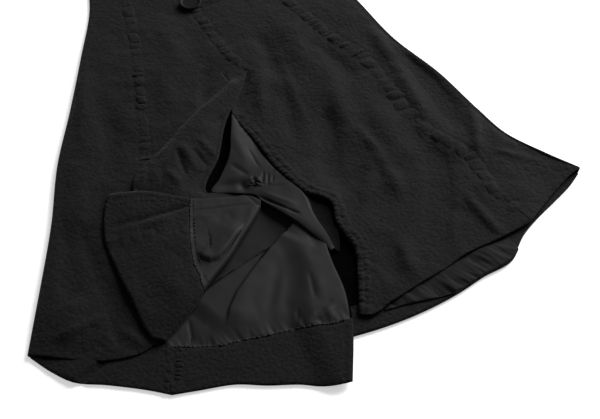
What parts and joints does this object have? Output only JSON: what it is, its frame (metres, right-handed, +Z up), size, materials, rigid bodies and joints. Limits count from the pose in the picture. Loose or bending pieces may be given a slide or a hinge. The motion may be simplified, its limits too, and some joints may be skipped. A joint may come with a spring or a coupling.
{
  "type": "flared gored skirt",
  "caption": "Black wool skirt of flared gores with lined front and back slits and deep soft hem facings, laid flat on its back with the front left corner turned over.",
  "frame": {"origin": "on the surface the skirt lies on, on the skirt's centre line", "axes": "+X across the skirt to the viewer's right, +Y from the hem to the waist, +Z up from the surface"},
  "size_m": [0.7424, 0.813, 0.0225],
  "materials": {
    "wool": "black felted wool, matt and slightly hairy, puckered at the seams",
    "lining": "black satin lining, softly shining and finely wrinkled",
    "button": "black, with a soft gloss"
  },
  "bodies": {
    "root": {"front_left": "wool", "front_right": "wool", "side_left": "wool", "side_right": "wool", "back_left": "wool", "back_right": "wool", "facing_turned": "wool", "facing_back_side": "wool", "facing_back": "wool", "lining_turned": "lining", "lining_back_left": "lining", "lining_back_right": "lining", "lining_slit": "lining", "waistband": "wool", "placket": "wool", "button_placket": "button", "button_waist": "button"}
  },
  "joints": []
}
